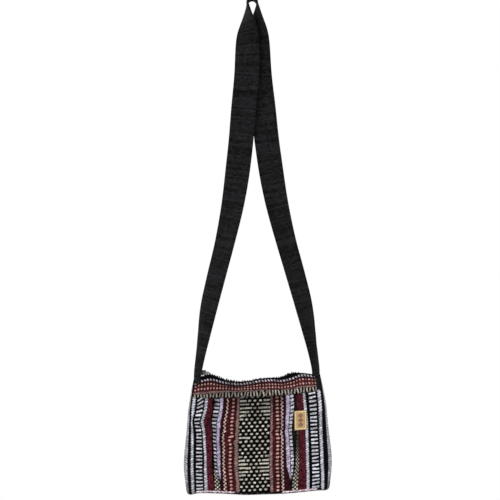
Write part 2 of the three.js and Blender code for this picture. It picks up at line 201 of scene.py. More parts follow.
# The diamond band: dots, and bars that frame the diamonds where two of them meet
DOT_PITCH = 8.9
DOT_WANDER = 0.35
DOT_HALF_WIDTH = 2.3
DOT_HALF_HEIGHT = 1.65
BAR_HALF_HEIGHT = 1.25
BAR_START = 5.2
BAR_MARGIN = 1.0
BAR_ROWS = 3
HALF_WAY_START = 7.2
CROSS_ROWS = 16
FIRST_CROSS = 3
MOTIF_PHASE = 2.7

# Yarn colours as the studio light shows them, sRGB, and the share of that light that the yarn gives back
YARN_LIGHT = 0.72
COLOURS = {
    "black": (6, 6, 9),
    "navy": (13, 12, 24),
    "warm_black": (9, 8, 7),
    "white": (203, 204, 213),
    "grey_white": (195, 195, 206),
    "tuck_white": (198, 195, 207),
    # The gusset's white cord, a little darker than the front's white as painted shade on the bag's sides
    "side_white": (190, 190, 202),
    "lavender": (178, 167, 192),
    "pink_white": (200, 197, 210),
    "hem_pink": (220, 200, 210),
    "maroon": (96, 36, 47),
    "wine": (76, 27, 32),
    "dark_maroon": (52, 18, 24),
    "beige": (200, 163, 148),
    "pale_beige": (206, 180, 172),
    "bead_pink": (202, 156, 148),
    "mauve": (138, 110, 108),
    "dash_white": (196, 182, 194),
    "off_white": (196, 191, 178),
    "bar_white": (168, 158, 149),
    "dull_beige": (188, 180, 166),
    "green_black": (26, 26, 20),
    "webbing": (29, 28, 30),
    "tape": (20, 20, 22),
    "lining": (40, 26, 28),
    "label": (198, 164, 108),
    "label_edge": (250, 232, 180),
    "label_figure": (140, 96, 104),
}

rng = np.random.default_rng(7)
JITTER = rng.uniform(-1.0, 1.0, 4099)


def linear(name):
    """A named yarn colour as linear light."""
    value = np.array(COLOURS[name]) / 255.0
    return YARN_LIGHT * np.where(value <= 0.04045, value / 12.92, ((value + 0.055) / 1.055) ** 2.4)


def smoothstep(value, low, high):
    t = np.clip((value - low) / (high - low), 0.0, 1.0)
    return t * t * (3 - 2 * t)


def lerp(a, b, t):
    return a + (b - a) * t


def bell(distance, half_width):
    return np.exp(-((distance / half_width) ** 2))


def arch(share, power):
    """A rounded hump over a share from 0 to 1."""
    return np.clip(np.sin(np.pi * share), 0.0, 1.0) ** power


def from_nearest(value, pitch):
    """How far a value is from the nearest multiple of a pitch."""
    return np.abs((value + pitch / 2) % pitch - pitch / 2)


def smooth_columns(names, rows):
    """A smooth curve for each column of a table, read at any place along its first column."""
    place, *values = (np.array(column, float) for column in zip(*rows))
    last = len(place) - 1
    before = np.maximum(np.arange(last + 1) - 1, 0)
    after = np.minimum(np.arange(last + 1) + 1, last)

    def reader(value):
        slope = (value[after] - value[before]) / (place[after] - place[before])

        def read(at):
            k = np.clip(np.searchsorted(place, at) - 1, 0, last - 1)
            span = place[k + 1] - place[k]
            t = np.clip((at - place[k]) / span, 0.0, 1.0)
            leave = t * (1 - t) ** 2 * span * slope[k]
            arrive = t ** 2 * (1 - t) * span * slope[k + 1]
            return value[k] + (value[k + 1] - value[k]) * t * t * (3 - 2 * t) + leave - arrive

        return read

    return {name: reader(value) for name, value in zip(names.split()[1:], values)}


def height_curve(rows):
    return smooth_columns("across height", rows)["height"]


section = smooth_columns(SECTION_NAMES, SECTIONS)
strand_at = smooth_columns(STRAND_NAMES, STRAND)
foot_drop_at = height_curve(FOOT_DROP)
seam_rise_at = height_curve(SEAM_RISE)
ridge_at = height_curve(RIDGE)


def height_at(up):
    return PANEL_BOTTOM + PANEL_HEIGHT * up


def sag_at(x, up):
    return foot_drop_at(x / SECTIONS[0][1]) * np.maximum(1 - up, 0.0) ** 2


def corner_inset(above):
    """How far the rounded bottom corners draw a side seam in at a height above the bottom edge."""
    below = np.clip(CORNER_RADIUS - above, 0.0, CORNER_RADIUS)
    return CORNER_RADIUS - np.sqrt(CORNER_RADIUS ** 2 - below ** 2)


def seam_half_width(up):
    return section["half_width"](up) - corner_inset(PANEL_HEIGHT * up)


def across_at(x, up):
    """How far a place is from the bag's middle towards its side seams, from -1 to 1."""
    return np.clip(x / seam_half_width(up), -1.0, 1.0)


def bowed(across, amount):
    return amount * (1 - np.abs(across) ** BOW_POWER)


def front_y(x, up):
    """The front panel's outer face, as in the CAD."""
    across = across_at(x, up)
    relief = 0.0
    for top_x, foot_x, height, half_width, foot_up, full_up in TUCKS:
        line = lerp(foot_x, top_x, up)
        relief = relief + height * smoothstep(up, foot_up, full_up) * bell(x - line, half_width)
    dent = bell((up - DENT_UP) * PANEL_HEIGHT, DENT_HALF_HEIGHT) * bell(x, DENT_REACH)
    relief = relief - DENT_DEPTH * dent
    fade = (1 - across ** RELIEF_SIDE_POWER) * smoothstep(1 - up, 0.0, RELIEF_TOP_FADE)
    return -section["half_depth"](up) - bowed(across, section["front_bow"](up)) - relief * fade


def back_y(x, up):
    across = across_at(x, up)
    return section["half_depth"](up) + bowed(across, section["back_bow"](up))


def hang(points):
    """Turns points of the upright bag into their place under the strap, leaning a little."""
    x, y, z = np.moveaxis(points, -1, 0)
    return np.stack([x, y, z + x * math.tan(BAG_LEAN) - STRAP_DROP], -1)


# Weaves. Each takes the place across its stripe (0 to 1), the length along it and the stripe's width,
# and gives the yarns' height, how far the figure's colour shows, and a number for each float.

def chance(number):
    """A fixed random share from -1 to 1 for each number, which callers scale to keep their draws apart."""
    return JITTER[np.asarray(number).astype(int) % len(JITTER)]


def rib(place, along, width):
    ends = max(round(width / YARN), 1)
    end = np.minimum(np.floor(place * ends), ends - 1)
    pick = along / PICK + 0.5 * (end % 2)
    step = np.floor(pick)
    height = RIB_HEIGHT * arch(place * ends - end, RIB_ROUND) * arch(pick - step, PICK_ROUND)
    return height, np.zeros_like(height), 37 * end + step


def figure(body, number, place, along, width):
    """A raised figure of yarn on a low rib: body is 1 in its middle and 0 at its outline."""
    ground = rib(place, along, width)[0] * GROUND_HEIGHT / RIB_HEIGHT
    inside = np.sqrt(np.clip(body, 0.0, 1.0))
    height = np.maximum(ground, GROUND_HEIGHT * (body > 0) + FIGURE_HEIGHT * inside)
    return height, np.clip(FIGURE_SHARPNESS * body + FIGURE_FRINGE, 0.0, 1.0), number


def oval(across, off, half_across, half_off):
    return 1 - (across / half_across) ** 2 - (off / half_off) ** 2


def cord(place, along, width, half_length=0.49):
    turn = along / CORD_PITCH + CORD_SLANT * place
    step = np.floor(turn)
    middle = 0.5 + CORD_WANDER * chance(7 * step)
    body = oval(place - middle, turn - step - 0.5, CORD_HALF_WIDTH, half_length)
    return figure(body, 7 * step, place, along, width)


def ladder(place, along, width, slant=0.0, half=0.225, most_tilt=0.2):
    """Rungs whose slant, half height and most tilt are shares of a pair of picks."""
    turn = along / PAIR - slant * place
    rung = np.floor(turn)
    tilt = most_tilt * chance(11 * rung) * (place - 0.5)
    off = turn - rung - 0.5 - tilt - RUNG_SHIFT * chance(5 * rung)
    reach = 1 - RUNG_UNEVEN * np.abs(chance(3 * rung))
    body = np.minimum(1 - (off / half) ** 2, 1 - np.abs((2 * place - 1) / reach) ** RUNG_SQUARENESS)
    return figure(body, 11 * rung, place, along, width)


def beads(place, along, width):
    row = np.floor(along / PAIR)
    middle = 0.5 + BEAD_WANDER * chance(13 * row)
    body = oval(place - middle, along / PAIR - row - 0.5, BEAD_HALF_WIDTH, BEAD_HALF_HEIGHT)
    return figure(body, 13 * row, place, along, width)


def check(place, along, width, squeeze=1.0, half_width=0.46, half_height=0.28):
    columns = max(round(width / CHECK_PITCH), 2)
    drawn = columns * (0.5 + squeeze * (place - 0.5))
    column = np.clip(np.floor(drawn), 0, columns - 1)
    turn = along / PAIR + 0.5 * (column % 2)
    row = np.floor(turn)
    body = oval(drawn - column - 0.5, turn - row - 0.5, half_width, half_height)
    return figure(body, 19 * row + 7 * column, place, along, width)


def motif(place, along, width):
    x = (place - 0.5) * width
    row = np.floor((along + MOTIF_PHASE) / PAIR)
    shift = 0.5 * ((row - FIRST_CROSS) % 2)
    number = np.round(x / DOT_PITCH - shift) + shift
    float_no = 23 * row + 10 * number
    off = (along + MOTIF_PHASE) - PAIR * (row + 0.5) - DOT_WANDER * chance(float_no + 501)
    centre = number * DOT_PITCH + DOT_WANDER * chance(float_no)
    dot = oval(x - centre, off, DOT_HALF_WIDTH, DOT_HALF_HEIGHT)
    from_cross = from_nearest(row - FIRST_CROSS, CROSS_ROWS)
    half_way = from_cross == CROSS_ROWS / 2
    start = np.where(half_way, HALF_WAY_START, BAR_START + 0.5 * DOT_PITCH * from_cross)
    barred = (from_cross <= BAR_ROWS) | (half_way & (x < 0))
    ends = np.minimum(np.abs(x) - start, width / 2 - np.abs(x))
    bar = np.minimum(1 - (off / BAR_HALF_HEIGHT) ** 2, ends)
    under_bar = barred & (np.abs(number * DOT_PITCH) > start - BAR_MARGIN)
    return figure(np.where(under_bar, bar, dot), float_no, place, along, width)


# The same weaves in other measures
roving = partial(cord, half_length=0.6)
bars = partial(ladder, most_tilt=0.5)
teeth = partial(ladder, slant=0.15, half=0.265)
teeth_back = partial(ladder, slant=-0.15, half=0.34)
dashes = partial(ladder, slant=0.35, half=0.27)
zigzag = partial(check, squeeze=1.4, half_width=0.62, half_height=0.34)

STRIPES = {
    # name: weave, ground colour, figure colour
    "black": (rib, "black", "black"),
    "maroon": (rib, "maroon", "maroon"),
    "wine": (rib, "wine", "wine"),
    "dark": (rib, "dark_maroon", "dark_maroon"),
    "green": (rib, "green_black", "green_black"),
    "white": (cord, "black", "grey_white"),
    "side_white": (cord, "black", "side_white"),
    "lavender": (roving, "navy", "lavender"),
    "pink": (cord, "black", "pink_white"),
    "mauve": (cord, "dark_maroon", "mauve"),
    "ladder": (ladder, "black", "white"),
    "bars": (bars, "warm_black", "bar_white"),
    "beads": (beads, "wine", "bead_pink"),
    "beige_dots": (beads, "dark_maroon", "beige"),
    "white_dots": (dashes, "black", "dash_white"),
    "zigzag": (zigzag, "dark_maroon", "pale_beige"),
    "check": (check, "green_black", "dull_beige"),
    "teeth": (teeth, "black", "tuck_white"),
    "teeth_back": (teeth_back, "black", "tuck_white"),
    "motif": (motif, "warm_black", "off_white"),
}

# Front panel, left to right: stripe, and its width at each of these heights up the panel
STRIPE_HEIGHTS = (0.07, 0.32, 0.64, 0.93)
FRONT_LAYOUT = [
    ("black", 1.6, 1.6, 1.6, 0.8),
    ("white", 5.6, 5.1, 4.8, 6.4),
    ("black", 2.4, 3.7, 4.0, 2.4),
    ("ladder", 11.2, 10.4, 8.8, 10.4),
    ("black", 1.6, 2.4, 1.3, 1.6),
    ("pink", 6.4, 4.8, 5.1, 5.6),
    ("maroon", 9.6, 8.0, 10.4, 8.8),
    # This black stripe is painted shadow, where the left tuck shades the cloth beside it
    ("black", 1.3, 3.1, 0.8, 0.9),
    ("check", 9.1, 0.6, 0.6, 0.6),
    ("teeth", 0.8, 4.4, 5.6, 8.8),
    ("lavender", 0.8, 5.6, 5.8, 6.2),
    ("dark", 3.2, 2.5, 3.7, 5.0),
    ("zigzag", 5.8, 4.8, 4.8, 4.0),
    ("wine", 3.8, 4.3, 5.9, 4.0),
    ("beads", 6.4, 6.7, 6.7, 6.4),
    ("wine", 4.2, 2.8, 2.6, 2.4),
    ("mauve", 6.2, 7.0, 6.4, 4.8),
    ("motif", 48.8, 48.8, 49.6, 49.6),
    ("mauve", 5.6, 6.0, 4.8, 4.0),
    ("wine", 4.0, 3.6, 4.0, 3.2),
    ("beads", 6.4, 7.2, 7.2, 7.2),
    ("dark", 2.4, 1.6, 1.1, 1.6),
    ("zigzag", 4.8, 4.8, 4.2, 4.8),
    ("dark", 9.8, 4.0, 2.7, 4.0),
    ("lavender", 0.8, 7.2, 6.2, 7.0),
    ("teeth_back", 0.8, 4.8, 4.6, 6.2),
    ("green", 0.8, 3.2, 7.6, 3.6),
    ("check", 9.8, 5.6, 2.4, 0.6),
    ("maroon", 13.2, 10.7, 11.2, 10.4),
    ("pink", 5.6, 5.3, 5.4, 5.3),
    ("black", 3.7, 4.3, 3.2, 4.3),
    ("ladder", 12.3, 11.2, 11.2, 12.0),
    ("black", 2.1, 2.1, 2.4, 2.4),
    ("white", 5.9, 5.8, 6.1, 6.4),
    ("black", 2.4, 3.8, 3.7, 2.4),
]

# Back panel, from its edge to the middle, then mirrored: stripe and width
BACK_HALF = [
    ("black", 2.5), ("white", 5.4), ("black", 2.8), ("ladder", 10.5), ("black", 2.5), ("white", 5.2),
    ("maroon", 10.0), ("teeth", 5.5), ("lavender", 7.0), ("dark", 2.6), ("zigzag", 5.5), ("maroon", 3.6),
    ("beads", 7.2), ("maroon", 2.6), ("mauve", 6.2),
]
BACK_MIDDLE = ("motif", 49.0)
# Gusset, from its front edge to its middle, then mirrored
GUSSET_HALF = [("black", 5.6), ("side_white", 6.8), ("side_white", 6.8), ("black", 2.6), ("maroon", 2.4)]
GUSSET_MIDDLE = ("zigzag", 7.2)
# Top bands, from the panel's seam to the zip: stripe, and its width at each of these places along the bag
BAND_PLACES = (0.07, 0.32, 0.62, 0.77, 0.87)
BAND_LAYOUT = [
    ("bars", 5.8, 12.4, 11.6, 9.6, 9.6),
    ("mauve", 5.0, 3.8, 1.8, 1.8, 3.4),
    ("maroon", 2.0, 1.2, 0.8, 1.0, 1.7),
    ("beads", 5.3, 4.4, 4.2, 3.6, 5.2),
    ("maroon", 3.0, 1.0, 1.9, 2.4, 2.6),
    ("beige_dots", 4.0, 2.0, 3.5, 2.6, 3.5),
    ("maroon", 0.8, 0.8, 1.4, 1.2, 0.8),
    ("dark", 2.2, 2.4, 2.2, 2.0, 2.0),
    ("white_dots", 3.5, 4.4, 4.6, 3.8, 4.4),
    ("black", 5.4, 1.4, 1.0, 6.0, 0.6),
]
# The places of a layout whose widths stay the same
EVEN = (0.0,)


def mirrored(half, middle):
    return [*half, middle, *half[::-1]]


def stripe_columns(layout):
    """Each column's stripe and its place across it."""
    stripe, place = [], []
    for k, (_, *widths) in enumerate(layout):
        count = max(round(max(widths) / COLUMN_STEP), LEAST_COLUMNS)
        stripe += [k] * count
        place += [j / count for j in range(count)]
    return np.array([*stripe, len(layout) - 1]), np.array([*place, 1.0])


def woven(layout, places, at, length_at):
    """A striped cloth with a row of points at each place in at. The layout gives each stripe's width at the
    places, and length_at the length along the cloth. Gives each point's share of the way across, its height
    and its colour, with painted shade in the gaps between its yarns."""
    stripe, place = stripe_columns(layout)
    sizes = np.array([widths for _, *widths in layout])
    widths = np.tile(sizes[:, 0], (len(at), 1))
    for k, (low, high) in enumerate(zip(places, places[1:])):
        widths += smoothstep(at, low, high)[:, None] * (sizes[:, k + 1] - sizes[:, k])
    widths /= widths.sum(1, keepdims=True) / sizes[:, -1].sum()
    edges = np.cumsum(widths, 1) - widths
    share = (edges[:, stripe] + place * widths[:, stripe]) / sizes[:, -1].sum()
    along = length_at(share)
    height = np.zeros(share.shape)
    colour = np.zeros((*share.shape, 3))
    for k, (name, *_) in enumerate(layout):
        weave, ground, figured = STRIPES[name]
        columns = np.flatnonzero(stripe == k)
        rise, mix, number = weave(place[columns][None, :], along[:, columns], sizes[k].max())
        shown = smoothstep(widths[:, k], HIDDEN_WIDTH, SHOWN_WIDTH)[:, None]
        height[:, columns] = rise * shown
        tint = lerp(linear(ground), linear(figured), (mix * shown)[..., None])
        spread = RIB_SPREAD if weave is rib else TONE_SPREAD
        uneven = 1 + spread * chance(number + 101 * k)
        # Painted shade: the colour darkens where the yarns lie low, between the floats and at the figures'
        # edges
        shadow = lerp(GAP_SHADE, 1.0, np.clip(rise / RIB_HEIGHT, 0.0, 1.0))
        colour[:, columns] = tint * (uneven * shadow)[..., None]
    return share, height, colour


def straight_rows(along):
    """The length along a cloth whose rows run straight across it."""
    return lambda share: np.broadcast_to(along[:, None], share.shape)


def unit(vectors):
    return vectors / np.linalg.norm(vectors, axis=-1, keepdims=True)


def grid_normals(grid):
    return unit(np.cross(np.gradient(grid, axis=1), np.gradient(grid, axis=0)))


def even_steps(line, axes, step):
    """Takes even steps along a line. Its first rows, one for each axis, are its place. Gives the length along
    it and every row's values there."""
    length = np.concatenate([[0.0], np.cumsum(np.linalg.norm(np.diff(line[:axes], axis=1), axis=0))])
    along = np.linspace(0.0, length[-1], round(length[-1] / step) + 1)
    return along, [np.interp(along, length, row) for row in line]


def quads(ids):
    corners = (ids[:-1, :-1], ids[:-1, 1:], ids[1:, 1:], ids[1:, :-1])
    return np.stack([corner.ravel() for corner in corners], 1)


def add_object(name, data):
    made = bpy.data.objects.new(name, data)
    bpy.context.collection.objects.link(made)
    return made


def yarn_object(name, points, faces, material, colours, uv=None):
    """An object whose points hold their own colour, painted shade and light included."""
    mesh = bpy.data.meshes.new(name)
    mesh.from_pydata((points * MM).tolist(), [], faces)
    mesh.polygons.foreach_set("use_smooth", np.ones(len(mesh.polygons), bool))
    yarn = mesh.color_attributes.new("yarn", "FLOAT_COLOR", "POINT")
    yarn.data.foreach_set("color", np.column_stack([colours, np.ones(len(colours))]).ravel())
    if uv is not None:
        layer = mesh.uv_layers.new(name="OFBake")
        layer.uv.foreach_set("vector", uv.ravel())
    mesh.update()
    mesh.materials.append(material)
    return add_object(name, mesh)


# Where a wall's faces go on its map: the outer face, the inner face and the rim
OUTER_MAP = (0.01, 0.12, 0.98, 0.87)
INNER_MAP = (0.01, 0.01, 0.98, 0.04)
RIM_MAP = (0.01, 0.07, 0.98, 0.03)


def placed(u, v, room):
    return np.stack([room[0] + room[2] * u, room[1] + room[3] * v], -1)


def grid_map(ids, room):
    rows, columns = ids.shape
    v, u = np.meshgrid(np.linspace(0, 1, rows), np.linspace(0, 1, columns), indexing="ij")
    return placed(u, v, room).reshape(-1, 2)


def wall(name, base, height, colour, thickness, material, lining="lining", stride=INNER_STRIDE, ribbed=False):
    """A closed wall of cloth: a raised outer face, an inner face on a wider grid, and a rim. The inner face
    has the lining's colour, or the outer's where there is none."""
    normal = grid_normals(base)
    rows, columns = base.shape[:2]
    row_picks = np.array([*range(0, rows - 1, stride), rows - 1])
    column_picks = np.array([*range(0, columns - 1, stride), columns - 1])
    pick = np.ix_(row_picks, column_picks)
    outer = base + normal * height[..., None]
    depth = thickness + height * ribbed
    inner = (base - normal * depth[..., None])[pick]
    outer_id = np.arange(rows * columns).reshape(rows, columns)
    inner_id = outer_id.size + np.arange(inner[..., 0].size).reshape(inner.shape[:2])
    outer_faces = quads(outer_id)
    inner_faces = quads(inner_id)[:, ::-1]

    sides = []
    for line, inner_line, picks in (
        (outer_id[0], inner_id[0], column_picks),
        (outer_id[:, -1], inner_id[:, -1], row_picks),
        (outer_id[-1, ::-1], inner_id[-1, ::-1], columns - 1 - column_picks[::-1]),
        (outer_id[::-1, 0], inner_id[::-1, 0], rows - 1 - row_picks[::-1]),
    ):
        for k, (first, last) in enumerate(zip(picks, picks[1:])):
            sides.append(([*line[first:last + 1][::-1]], [inner_line[k], inner_line[k + 1]]))

    uv = [
        grid_map(outer_id, OUTER_MAP)[outer_faces].reshape(-1, 2),
        grid_map(inner_id, INNER_MAP)[inner_faces - outer_id.size].reshape(-1, 2),
    ]
    for k, (above, below) in enumerate(sides):
        u = np.array([*np.linspace(k + 1, k, len(above)), k, k + 1]) / len(sides)
        v = np.array([1.0] * len(above) + [0.0, 0.0])
        uv.append(placed(u, v, RIM_MAP))
    rim_faces = [[*map(int, above + below)] for above, below in sides]
    faces = outer_faces.tolist() + inner_faces.tolist() + rim_faces
    points = np.concatenate([outer.reshape(-1, 3), inner.reshape(-1, 3)])
    if lining is None:
        inner_colour = colour[pick].reshape(-1, 3)
    else:
        inner_colour = np.tile(linear(lining), (inner_id.size, 1))
    colours = np.concatenate([colour.reshape(-1, 3), inner_colour])
    return yarn_object(name, points, faces, material, colours, np.concatenate(uv))


def piece(made, slot, *nodes):
    """Puts a piece in the root body and hides the CAD nodes that it stands for; slot, its finish, is not
    used.
    """
    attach(made, "root")
    if nodes:
        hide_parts(*nodes)


# Materials

DYE_SCALE = 24.0
SLUB_SCALE = 420.0
FIBRE_TONE = 0.14
MOST_ROUGHNESS = 0.98
WORN_TONE = 0.75
FINE_WEAR = 4


def wire(tree, node, inputs):
    """Sets a node's inputs: a socket is linked, and anything else is the input's value."""
    for name, value in inputs.items():
        if isinstance(value, bpy.types.NodeSocket):
            tree.links.new(value, node.inputs[name])
        else:
            node.inputs[name].default_value = value
    return node


def new_material(name):
    material = bpy.data.materials.new(name)
    material.use_nodes = True
    tree = material.node_tree
    return material, tree, tree.nodes["Principled BSDF"]


def noise(tree, scale, detail):
    place = tree.nodes.new("ShaderNodeTexCoord").outputs["Object"]
    node = tree.nodes.new("ShaderNodeTexNoise")
    return wire(tree, node, {"Vector": place, "Scale": scale, "Detail": detail}).outputs["Fac"]


def ranged(tree, value, low, high):
    """Spreads the middle part of a noise, where most of it lies, over a range."""
    node = tree.nodes.new("ShaderNodeMapRange")
    span = {"From Min": 0.3, "From Max": 0.7, "To Min": low, "To Max": high}
    return wire(tree, node, {"Value": value, **span}).outputs["Result"]


def scaled(tree, colour, factor):
    node = tree.nodes.new("ShaderNodeVectorMath")
    node.operation = "SCALE"
    return wire(tree, node, {"Vector": colour, "Scale": factor}).outputs["Vector"]


def bumped(tree, height, strength, distance):
    node = tree.nodes.new("ShaderNodeBump")
    return wire(tree, node, {"Height": height, "Strength": strength, "Distance": distance}).outputs["Normal"]


def yarn_material(name, fibre_scale, unevenness, mottle, roughness, fuzz):
    """Spun yarn: each point's own colour with its painted shade and light, uneven in dye and in fibre, with
    fibres standing in it.
    """
    material, tree, shader = new_material(name)
    yarn = tree.nodes.new("ShaderNodeAttribute")
    yarn.attribute_name = "yarn"
    fibre = noise(tree, fibre_scale, detail=3.0)
    dye = ranged(tree, noise(tree, DYE_SCALE, detail=3.0), 1 - unevenness, 1 + unevenness)
    slub = ranged(tree, noise(tree, SLUB_SCALE, detail=2.0), 1 - mottle, 1 + mottle)
    dyed = scaled(tree, scaled(tree, yarn.outputs["Color"], dye), slub)
    wire(tree, shader, {
        "Base Color": scaled(tree, dyed, ranged(tree, fibre, 1 - FIBRE_TONE, 1 + FIBRE_TONE)),
        "Roughness": ranged(tree, fibre, roughness, MOST_ROUGHNESS),
        "Normal": bumped(tree, fibre, strength=0.5, distance=0.0005),
        "Specular IOR Level": 0.03,
        "Sheen Weight": fuzz,
        "Sheen Roughness": 0.6,
    })
    return material


def hard_material(name, colour, metallic, low, high, scale):
    """Metal or moulded plastic, worn a little unevenly."""
    material, tree, shader = new_material(name)
    wear = noise(tree, scale, detail=4.0)
    fine_wear = noise(tree, FINE_WEAR * scale, detail=2.0)
    worn = [WORN_TONE * value for value in colour]
    tone = tree.nodes.new("ShaderNodeMix")
    tone.data_type = "RGBA"
    wire(tree, tone, {"Factor": ranged(tree, wear, 0.0, 1.0), "A": (*worn, 1.0), "B": (*colour, 1.0)})
    wire(tree, shader, {
        "Base Color": tone.outputs["Result"],
        "Roughness": ranged(tree, wear, low, high),
        "Normal": bumped(tree, fine_wear, strength=0.15, distance=0.0002),
        "Metallic": metallic,
    })
    return material


YARN_FINISHES = [
    # name, scale of the fibres, unevenness of the dye, mottling, least roughness, fuzz
    ("striped_cloth", 1500.0, 0.1, 0.5, 0.82, 0.01),
    ("strap_webbing", 1300.0, 0.14, 0.25, 0.75, 0.02),
    ("zip_tape", 2600.0, 0.06, 0.1, 0.8, 0.03),
    ("label_cloth", 2200.0, 0.08, 0.15, 0.7, 0.05),
    ("sewing_thread", 2500.0, 0.06, 0.1, 0.7, 0.05),
]
HARD_FINISHES = [
    # name, colour, metallic, least and most roughness, scale of the wear
    ("zip_teeth", (0.014, 0.014, 0.016), 0.0, 0.35, 0.55, 300.0),
    ("zip_metal", (0.3, 0.3, 0.32), 1.0, 0.38, 0.58, 220.0),
]
cloth, webbing, tape_cloth, label_yarn, thread = [yarn_material(*finish) for finish in YARN_FINISHES]
coil_plastic, nickel = [hard_material(*finish) for finish in HARD_FINISHES]


# Camera and studio

camera_data = bpy.data.cameras.new("camera")
camera_data.sensor_width = SENSOR_WIDTH
camera_data.lens = SENSOR_WIDTH * CAMERA_DISTANCE / PICTURE_SIDE
camera = add_object("camera", camera_data)
camera.location = (PICTURE_CENTRE[0], FRONT_PLANE - CAMERA_DISTANCE, PICTURE_CENTRE[1])
camera.rotation_euler = (math.pi / 2, CAMERA_ROLL, 0.0)
bpy.context.scene.camera = camera
bpy.context.scene.view_settings.view_transform = "Standard"

world = bpy.data.worlds.new("studio")
world.use_nodes = True
world_shader = world.node_tree.nodes["Background"]
wire(world.node_tree, world_shader, {"Color": (1.0, 1.0, 1.0, 1.0), "Strength": WORLD_LIGHT})
bpy.context.scene.world = world

for light_name, light_place, light_size, light_power in LIGHTS:
    light_data = bpy.data.lights.new(light_name, "AREA")
    light_data.size = light_size
    light_data.energy = light_power
    light = add_object(light_name, light_data)
    light.location = light_place
    target = camera.location.copy()
    target.y = 0.0
    light.rotation_euler = (target - light.location).to_track_quat("-Z", "Y").to_euler()

floor_mesh = bpy.data.meshes.new("floor")
floor_angles = [2 * math.pi * k / FLOOR_SIDES for k in range(FLOOR_SIDES)]
floor_rim = [(FLOOR_RADIUS * math.cos(a), FLOOR_RADIUS * math.sin(a), FLOOR_HEIGHT) for a in floor_angles]
floor_mesh.from_pydata(floor_rim, [], [range(FLOOR_SIDES)])
floor_paint, floor_tree, floor_shader = new_material("floor")
wire(floor_tree, floor_shader, {"Base Color": (0.85, 0.85, 0.85, 1.0), "Roughness": 0.9})
floor_mesh.materials.append(floor_paint)
floor = add_object("floor", floor_mesh)


# Panels

# How far in from a panel's seams its stripes drift and its cloth ripples freely
PULL_EASE = 8.0
RIPPLE_EASE = 15.0


def seam_roll(distance):
    """How far a wall's edge turns in at a distance from its seam."""
    return ROLL_DEPTH * (1 - np.clip(distance / ROLL_WIDTH, 0.0, 1.0)) ** 2


def seam_shaded(colour, distance):
    return colour * lerp(SEAM_TONE, 1.0, smoothstep(distance, 0.0, SEAM_SHADE))[..., None]


def still(x, up):
    return 0.0


def no_shade(x, up):
    return np.ones_like(x)


def panel(name, node, layout, places, towards, face_y, ripple, drift=still, shade=no_shade, skew=still):
    """A panel with upright stripes, laid from its viewer's left. towards is -1 for the front and 1 for the
    back."""
    rows = round(PANEL_HEIGHT / ROW_STEP)
    up = np.linspace(0.0, 1.0, rows + 1)

    def length_at(share):
        across = towards * (1 - 2 * share)
        down = (1 - up)[:, None]
        hangs = foot_drop_at(across) - ROW_SAG * (1 - across ** 2)
        return PANEL_HEIGHT * down + hangs * down ** 2 + skew(across, up[:, None])

    share, height, colour = woven(layout, places, up, length_at)
    across = towards * (1 - 2 * share)
    foot_gap = PANEL_HEIGHT * up[:, None]
    side_gap = section["half_width"](up)[:, None] * (1 - np.abs(across))
    lift = corner_inset(side_gap) * (1 - smoothstep(foot_gap, 0.0, CORNER_EASE))
    lift = lift + seam_rise_at(across) * smoothstep(up, RISE_FROM, 1.0)[:, None]
    z = height_at(up)[:, None] + lift
    fitted_up = (z - PANEL_BOTTOM) / PANEL_HEIGHT
    x = across * section["half_width"](fitted_up)
    x = x + drift(x, fitted_up) * smoothstep(side_gap, 0.0, PULL_EASE)
    colour = colour * shade(x, fitted_up)[..., None]
    top_gap = PANEL_HEIGHT - foot_gap
    gap = np.minimum(np.minimum(side_gap, foot_gap), top_gap)
    loose = ripple(x, fitted_up) * smoothstep(gap, 0.0, RIPPLE_EASE)
    y = face_y(x, fitted_up) + towards * (loose - seam_roll(gap))
    base = np.stack([x, y, z - sag_at(x, fitted_up)], -1)
    made = wall(name, hang(base), height, seam_shaded(colour, gap), CLOTH_THICKNESS, cloth)
    piece(made, "striped_cloth", node)


# Where the front's stripes are pushed sideways: x, up, reach in x, reach in up, shift
PULLS = [
    (-88, 0.76, 24, 0.085, -4.2),
    (-46, 0.56, 22, 0.05, -1.8),
    (30, 0.612, 14, 0.022, -2.2),
]
# The slanting fold that the stripes step across: its middle, its slope, its reach and the step
FOLD_X = -42.0
FOLD_UP = 0.585
FOLD_SLOPE = -0.0055
FOLD_HALF_LENGTH = 16.0
FOLD_REACH = 0.03
FOLD_STEP = 5.0
# Where folds keep the light off the front: x, up, reach in x, reach in up, depth of the shade
SHADES = [
    (-69, 0.957, 5, 0.045, 0.85),
    (0, 0.9, 30, 0.17, 0.5),
    (-38, 1.0, 16, 0.11, 0.6),
    (32, 1.0, 16, 0.12, 0.6),
    (63.5, 0.5, 4.0, 0.2, 0.75),
    (-62, 0.6, 8, 0.5, 0.2),
    (-100, 0.1, 16, 0.15, 0.25),
    (-76, 0.75, 8, 0.2, 0.45),
]
# Where the front's rows climb to the right, beside its left top corner
SKEW_AT = -0.87
SKEW_REACH = 0.1
SKEW_FROM = 0.8
SKEW_SLOPE = 90.0
# The crease across the front's middle
CREASE_X = -10.0
CREASE_UP = 0.605
CREASE_DEPTH = 1.3
CREASE_HALF_HEIGHT = 2.6
CREASE_REACH = 48.0
# Soft ripples: a height, then two waves, each with its rate across, its rate up the panel and its phase
FRONT_RIPPLE = (0.7, (0.071, 5.2, 0.0), (0.02, 9.0, 0.6))
BACK_RIPPLE = (0.8, (0.05, 4.0, 0.7), (0.0, 7.0, 0.3))


def bumps(rows, x, up):
    """The sum of rounded bumps: x, up, reach in x, reach in up and height in each row."""
    total = 0.0
    for at, level, reach, tall, height in rows:
        total = total + height * bell(x - at, reach) * bell(up - level, tall)
    return total


def front_drift(x, up):
    above = (up - FOLD_UP - FOLD_SLOPE * (x - FOLD_X)) / FOLD_REACH
    step = FOLD_STEP * above * bell(above, 1.0) * bell(x - FOLD_X, FOLD_HALF_LENGTH)
    return step + bumps(PULLS, x, up)


def front_shade(x, up):
    return 1 - bumps(SHADES, x, up)


def front_skew(across, up):
    off = across - SKEW_AT
    return SKEW_SLOPE * off * bell(off, SKEW_REACH) * smoothstep(up, SKEW_FROM, 1.0)


